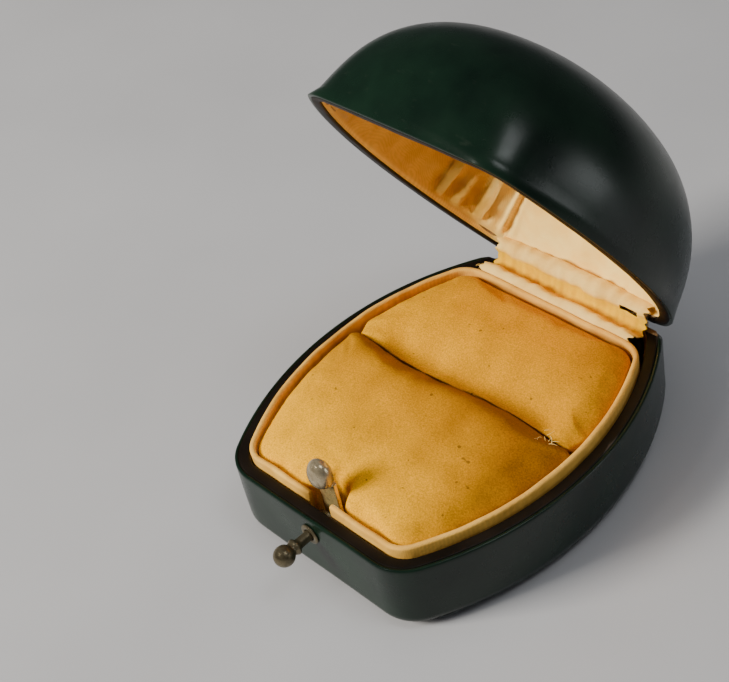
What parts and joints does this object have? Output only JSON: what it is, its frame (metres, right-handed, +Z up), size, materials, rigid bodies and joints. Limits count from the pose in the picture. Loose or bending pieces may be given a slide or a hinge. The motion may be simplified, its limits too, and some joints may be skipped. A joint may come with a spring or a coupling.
{
  "type": "ring box",
  "caption": "Antique leather ring box with a domed hinged lid, velvet ring pad, silk lining and a push-button spring catch, shown with the lid half open.",
  "frame": {"origin": "centre of the flat underside", "axes": "+X to the box's right as seen from the button side, +Y to the rear (hinge side), +Z up"},
  "size_m": [0.047, 0.0684, 0.0599],
  "materials": {
    "green_leather": "glossy grained leather",
    "black_leather": "worn satin leather",
    "black_paper": "matt grained paper",
    "carcass_wood": "plain planed wood",
    "card": "rough card",
    "ochre_velvet": "short worn velvet",
    "cream_silk": "satin-woven silk",
    "lining_silk": "satin-woven silk",
    "hinge_brass": "aged brass",
    "button_brass": "tarnished brass",
    "catch_steel": "worn nickelled metal"
  },
  "bodies": {
    "base": {"base_underside": "black_paper", "base_leather": "green_leather", "base_carcass": "carcass_wood", "base_rim_facing": "black_leather", "collar": "cream_silk", "pad_tray": "card", "front_cushion": "ochre_velvet", "rear_cushion": "ochre_velvet", "slot_lining": "ochre_velvet", "rear_fillet": "carcass_wood", "hinge_silk": "cream_silk", "hinge_leaf_base": "hinge_brass", "hinge_pin": "catch_steel", "catch_bracket": "hinge_brass", "button_ferrule": "button_brass", "hinge_nail_base_1": "hinge_brass", "hinge_nail_base_2": "hinge_brass", "hinge_nail_base_3": "hinge_brass", "catch_screw_1": "catch_steel", "catch_screw_2": "catch_steel"},
    "lid": {"lid_leather": "green_leather", "lid_carcass": "carcass_wood", "lid_rim_facing": "black_leather", "lid_lining": "lining_silk", "hinge_leaf_lid": "hinge_brass", "keeper_plate": "hinge_brass", "hinge_nail_lid_1": "hinge_brass", "hinge_nail_lid_2": "hinge_brass", "hinge_nail_lid_3": "hinge_brass", "keeper_nail_1": "hinge_brass", "keeper_nail_2": "hinge_brass"},
    "catch": {"catch_tongue": "catch_steel"},
    "button": {"push_button": "button_brass", "button_washer": "button_brass"}
  },
  "joints": [
    {"name": "lid_hinge", "type": "hinge", "parent": "base", "child": "lid", "pos_m": [0, 0.0252, 0.0104], "axis": [-1, 0, 0], "range_deg": [-57.8, 31], "deforming": ["hinge_silk"]},
    {"name": "catch_flex", "type": "hinge", "parent": "base", "child": "catch", "pos_m": [0, -0.02265, 0.0034], "axis": [-1, 0, 0], "range_deg": [0, 7.2], "stiffness_Nm_per_rad": 0.01},
    {"name": "button_press", "type": "slide", "parent": "base", "child": "button", "axis": [0, 1, 0], "range_m": [0, 0.00057]}
  ],
  "couplings": [
    {"joint": "catch_flex", "follows": "button_press", "rad_per_m": 196}
  ]
}
